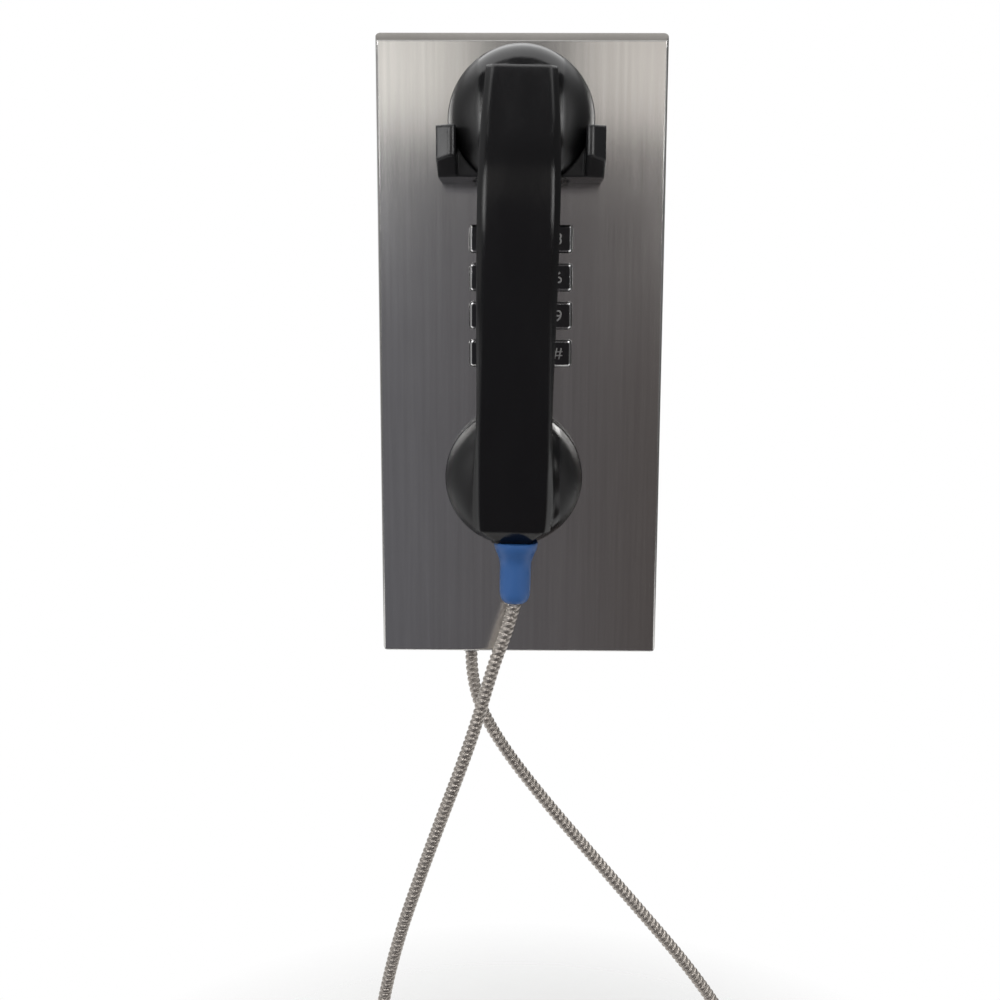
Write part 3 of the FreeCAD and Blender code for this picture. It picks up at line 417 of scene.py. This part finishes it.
# %% Wind the armour
RIB_PITCH = 2.85 * MM
# each pair is a share of the pitch and the groove's depth there in mm
RIB = ((0.0, 0.7), (0.1, 0.4), (0.25, 0.12), (0.5, 0.0), (0.75, 0.12), (0.9, 0.4))
SIDES = 32


def frames_along(points):
    """A pair of side directions at each point, turned as little as possible from one to the next."""
    ahead = np.gradient(points, axis=0)
    ahead /= np.linalg.norm(ahead, axis=1)[:, None]
    side = np.cross(ahead[0], (0, 1, 0))
    sides = []
    for direction in ahead:
        side = side - direction * (side @ direction)
        side = side / np.linalg.norm(side)
        sides.append(side)
    sides = np.array(sides)
    return sides, np.cross(ahead, sides)


def wind_armour(points):
    along = np.r_[0, np.cumsum(np.linalg.norm(np.diff(points, axis=0), axis=1))]
    left, up = frames_along(points)
    turns = int(along[-1] / RIB_PITCH) + 3
    steps = np.arange(turns * SIDES + 1)
    share, depth = np.array(RIB).T
    s = np.clip((steps[:, None] / SIDES - 1 + share[None, :]) * RIB_PITCH, 0, along[-1])
    angle = 2 * np.pi * steps[:, None] / SIDES
    radius = CORD_R - depth[None, :] * MM
    centre, u, v = ([np.interp(s, along, a[:, k]) for k in range(3)] for a in (points, left, up))
    co = np.stack([centre[k] + radius * (np.cos(angle) * u[k] + np.sin(angle) * v[k]) for k in range(3)], -1)
    count = len(RIB)
    row, column = np.meshgrid(np.arange(len(steps) - SIDES - 1), np.arange(count), indexing="ij")
    here = row * count + column
    across = np.where(column + 1 < count, here + 1, (row + SIDES) * count)
    quads = np.stack([here, here + count, across + count, across], -1).reshape(-1, 4)
    mesh = bpy.data.meshes.new("armour")
    mesh.from_pydata(co.reshape(-1, 3).tolist(), [], quads.tolist())
    mesh.update()
    mesh.shade_smooth()
    return mesh


armour = bpy.data.objects.new("cord_armour", wind_armour(line))
scene.collection.objects.link(armour)
armour.data.materials.append(finishes["armour_steel"])
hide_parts("handset_cord")
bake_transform(armour)
print("armour of", len(armour.data.vertices), "points")

# %% [markdown]
# ## The figures on the keys
#
# Each key carries its figure, cut into the casting and then plated over, so it shows only by how its rougher skin
# takes the light. Blender's own font has plain figures. A text object becomes a mesh, and a hair's thickness lets it
# stand on the key's face.

# %% Put the figures on the keys
FIGURES = {"star": "*", "hash": "#"}
FIGURE_SIZE, FIGURE_THICKNESS, FIGURE_STANDS_OUT = 7.4 * MM, 0.03 * MM, 0.01 * MM
etched = plain_metal("etched_figure", (0.5, 0.5, 0.5), 0.45, 2200, 0.01 * MM)
for name in (n for n in nodes if n.startswith("key_") and n != "key_mat"):
    figure = name.removeprefix("key_")
    text = bpy.data.curves.new("text", "FONT")
    text.body = FIGURES.get(figure, figure)
    text.size = FIGURE_SIZE
    text.extrude = FIGURE_THICKNESS
    text.align_x, text.align_y = "CENTER", "CENTER"
    drawn = bpy.data.objects.new("text", text)
    mesh = bpy.data.meshes.new_from_object(drawn)
    bpy.data.objects.remove(drawn)
    low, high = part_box(name)
    mesh.transform(Matrix.Rotation(math.radians(90), 4, "X"))
    xs = [v.co.x for v in mesh.vertices]
    zs = [v.co.z for v in mesh.vertices]
    middle = Vector(((low.x + high.x) / 2 - (min(xs) + max(xs)) / 2, low.y - FIGURE_STANDS_OUT,
                     (low.z + high.z) / 2 - (min(zs) + max(zs)) / 2))
    mesh.transform(Matrix.Translation(middle))
    piece = bpy.data.objects.new("figure_" + figure, mesh)
    scene.collection.objects.link(piece)
    piece.data.materials.clear()
    piece.data.materials.append(etched)
    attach(piece, name)
print("12 figures")

# %% [markdown]
# ## Floor and background
#
# The telephone hangs free above a pale floor that catches its shadow and fades into white. The background is white
# because the world is white for rays from the camera and for reflections, while the light that the world throws on
# the telephone stays at a plain level.

# %% Lay the floor and make the world
FLOOR_GAP, FLOOR_RADIUS = 8 * MM, 1.6
FADE_START, FADE_END = 0.12, 0.34  # the floor turns clear between these distances from its middle
floor_mesh = bpy.data.meshes.new("floor")
bm = bmesh.new()
bmesh.ops.create_circle(bm, cap_ends=True, radius=FLOOR_RADIUS, segments=96)
bm.to_mesh(floor_mesh)
bm.free()
floor = bpy.data.objects.new("floor", floor_mesh)
scene.collection.objects.link(floor)
floor.location = (0, solid_box[0].y / 2, solid_box[0].z - FLOOR_GAP)
paper = Finish("floor_paper")
fibres = paper.noise(paper.spot, 40, 4)
paper.set(Base_Color=paper.mix(fibres, (0.84, 0.84, 0.83), (0.88, 0.88, 0.87)), Roughness=0.9)
distance = paper.add("ShaderNodeVectorMath", {"operation": "LENGTH"}, {0: paper.spot}, output=1)
fade = paper.ramp(distance, (FADE_START, 0.0), (FADE_END, 1.0))
clear = paper.add("ShaderNodeBsdfTransparent")
faded = paper.add("ShaderNodeMixShader", {}, {0: fade, 1: Value(paper.shader.outputs[0], paper), 2: clear})
for node in paper.nodes:
    if node.type == "OUTPUT_MATERIAL":
        paper.plug(node.inputs["Surface"], faded)
floor_mesh.materials.append(paper.material)

WORLD_LIGHT = 0.55
world = bpy.data.worlds.new("studio")
scene.world = world
sky = Tree(world)
seen = [sky.add("ShaderNodeLightPath", output=k) for k in (0, 3, 6)]
seen = seen[0].over(seen[1]).over(seen[2])
strength = WORLD_LIGHT + (1 - WORLD_LIGHT) * seen
background = sky.add("ShaderNodeBackground", {}, {"Color": (1, 1, 1), "Strength": strength})
sky.plug(sky.nodes.new("ShaderNodeOutputWorld").inputs["Surface"], background)
print("floor at", round(floor.location.z, 3))

# %% [markdown]
# ## Cards for the steel and the gloss to look at
#
# Polished steel and black gloss have almost no colour of their own to show: they show the room. So dark cloths and
# grey cards stand around the telephone, out of the camera's sight. A dark card in front, cooler on the left and
# warmer on the right, gives the housing its dark lower part. A bright band above it gives the bright top, and a gap
# in the band keeps the front of the handle dark. A dark canopy rises from the band to a bright ceiling, which draws
# the light rim on the ear cup, and grey walls close the sides. Only reflections see the cards, so they cast no
# shadow and light nothing else.

# %% Hang the cards
def card(name, corners, left, right):
    """A card seen only in reflections, with this colour on its left and that on its right."""
    mesh = bpy.data.meshes.new(name)
    mesh.from_pydata(corners, [], [range(4)])
    piece = bpy.data.objects.new(name, mesh)
    scene.collection.objects.link(piece)
    cloth = Tree(material := bpy.data.materials.new(name))
    across = cloth.add("ShaderNodeSeparateXYZ", {}, {0: cloth.add("ShaderNodeTexCoord", output=3)})
    share = cloth.add("ShaderNodeMapRange", {}, {"Value": across, "From Min": -0.25, "From Max": 0.25})
    glow = cloth.add("ShaderNodeEmission", {}, {"Color": cloth.mix(share, left, right)})
    cloth.plug(cloth.nodes.new("ShaderNodeOutputMaterial").inputs["Surface"], glow)
    mesh.materials.append(material)
    piece.visible_camera = piece.visible_diffuse = piece.visible_shadow = False
    piece.visible_transmission = piece.visible_volume_scatter = False


def upright(from_xy, to_xy, low, high):
    """The corners of an upright card between two places on the floor plan."""
    return [(*from_xy, low), (*to_xy, low), (*to_xy, high), (*from_xy, high)]


def grey(level):
    return (level, level, level)


GROUND = floor.location.z + 0.01
FRONT_Y, SIDE_X, FRONT_TOP, BAND_TOP = -1.35, 1.25, 0.285, 0.5
APRON_X, APRON_Y = 0.55, -0.14
ROOF_X, CANOPY_Y, CANOPY_TOP, CEILING_Y, CEILING_TOP = 1.5, -0.72, 1.3, 1.9, 1.6
WALL_BREAK_Y, BACK_Y, BACK_WALL_TOP = -0.45, 2.5, 1.2
COOL, WARM = (0.140, 0.141, 0.156), (0.092, 0.080, 0.077)
BAND_LEFT, BAND_RIGHT = (0.98, 0.955, 0.91), (0.77, 0.725, 0.685)


def sloped(half_width, near, far):
    """The corners of a card as wide on both sides, from one (y, z) to another."""
    return [(-half_width, *near), (half_width, *near), (half_width, *far), (-half_width, *far)]


left_corner, right_corner = (-SIDE_X, FRONT_Y), (SIDE_X, FRONT_Y)
gap_left, gap_right = (-0.075, FRONT_Y + 0.01), (0.07, FRONT_Y + 0.01)
card("front_card", upright(left_corner, right_corner, GROUND, FRONT_TOP), COOL, WARM)
card("bright_band", upright(left_corner, right_corner, FRONT_TOP, BAND_TOP), BAND_LEFT, BAND_RIGHT)
card("band_gap", upright(gap_left, gap_right, FRONT_TOP, BAND_TOP), grey(0.13), grey(0.12))
card("apron_card", sloped(APRON_X, (FRONT_Y, GROUND), (APRON_Y, GROUND)), COOL, WARM)
card("canopy", sloped(ROOF_X, (FRONT_Y, BAND_TOP), (CANOPY_Y, CANOPY_TOP)), grey(0.12), grey(0.10))
card("ceiling", sloped(ROOF_X, (CANOPY_Y, CANOPY_TOP), (CEILING_Y, CEILING_TOP)), grey(2.3), grey(2.0))
for name, x, start_y, end_y, high, level in (
        ("left_wall", -SIDE_X, FRONT_Y, WALL_BREAK_Y, CANOPY_TOP, 0.12),
        ("left_wall_back", -SIDE_X, WALL_BREAK_Y, BACK_Y, BACK_WALL_TOP, 0.40),
        ("right_wall", SIDE_X, FRONT_Y, BACK_Y, BACK_WALL_TOP, 0.12)):
    card(name, upright((x, start_y), (x, end_y), GROUND, high), grey(level), grey(level))

# %% [markdown]
# ## The lit cards
#
# An edge with a radius of a millimetre or two sweeps through many directions, so a lit card to the side appears in it
# as a thin line. Where the line begins and ends along the handle depends on how high the card stands, because the
# handle is curved. Narrower, brighter cards draw the lines on the prongs, a dimmer one far to the left gives the left
# prong its grey flank, and two high ones are for the bevels near the handle's top. Small dark flags beside the
# housing keep the lit cards out of its own side bends.

# %% Stand the lit cards at the sides
RING_Y = -0.1  # the lit cards stand round this place, just in front of the handset
FLAG_NEAR, FLAG_FAR, FLAG_Y = 0.075, 0.150, -0.088


def bearing(degrees, reach):
    """A place on the floor plan, this many degrees to the right of straight in front."""
    angle = math.radians(degrees)
    return reach * math.sin(angle), RING_Y - reach * math.cos(angle)


for name, start, end, reach, low, high, level in (
        ("left_line", -25, -36, 1.15, 0.07, 0.45, 7.0), ("right_line", 25, 36, 1.15, 0.07, 0.45, 7.0),
        ("left_prong_line", -16, -23, 1.15, 0.185, 0.27, 10.0),
        ("right_prong_line", 16, 23, 1.15, 0.185, 0.27, 10.0),
        ("left_flank", -54, -65, 1.15, 0.13, 0.36, 4.0),
        ("left_high", -15, -27, 0.9, 0.86, 1.2, 9.0), ("right_high", 15, 27, 0.9, 0.86, 1.2, 7.0)):
    card(name, upright(bearing(start, reach), bearing(end, reach), low, high), grey(level), grey(level))
for side in (-1, 1):
    for low, high, level in ((-0.05, 0.1, 0.14), (0.1, 0.15, 0.35)):
        near, far = (side * FLAG_NEAR, FLAG_Y), (side * FLAG_FAR, FLAG_Y)
        card("edge_flag", upright(near, far, low, high), grey(level), grey(level))

# %% [markdown]
# ## The lamp
#
# One large soft lamp above and in front lights the whole telephone evenly. Its own reflection is hidden, because
# the cards already say what the gloss shows.

# %% Set the lamp
key_lamp = bpy.data.objects.new("key_lamp", bpy.data.lights.new("key_lamp", "AREA"))
key_lamp.data.shape, key_lamp.data.size, key_lamp.data.size_y = "RECTANGLE", 1.1, 0.8
key_lamp.data.energy = 18
key_lamp.location = (-0.35, -1.1, 1.25)
key_lamp.rotation_euler = (Vector((0, FACE_Y, -0.03)) - key_lamp.location).to_track_quat("-Z", "Y").to_euler()
key_lamp.visible_glossy = key_lamp.visible_camera = False
scene.collection.objects.link(key_lamp)
print("lamp:", key_lamp.data.energy, "W")
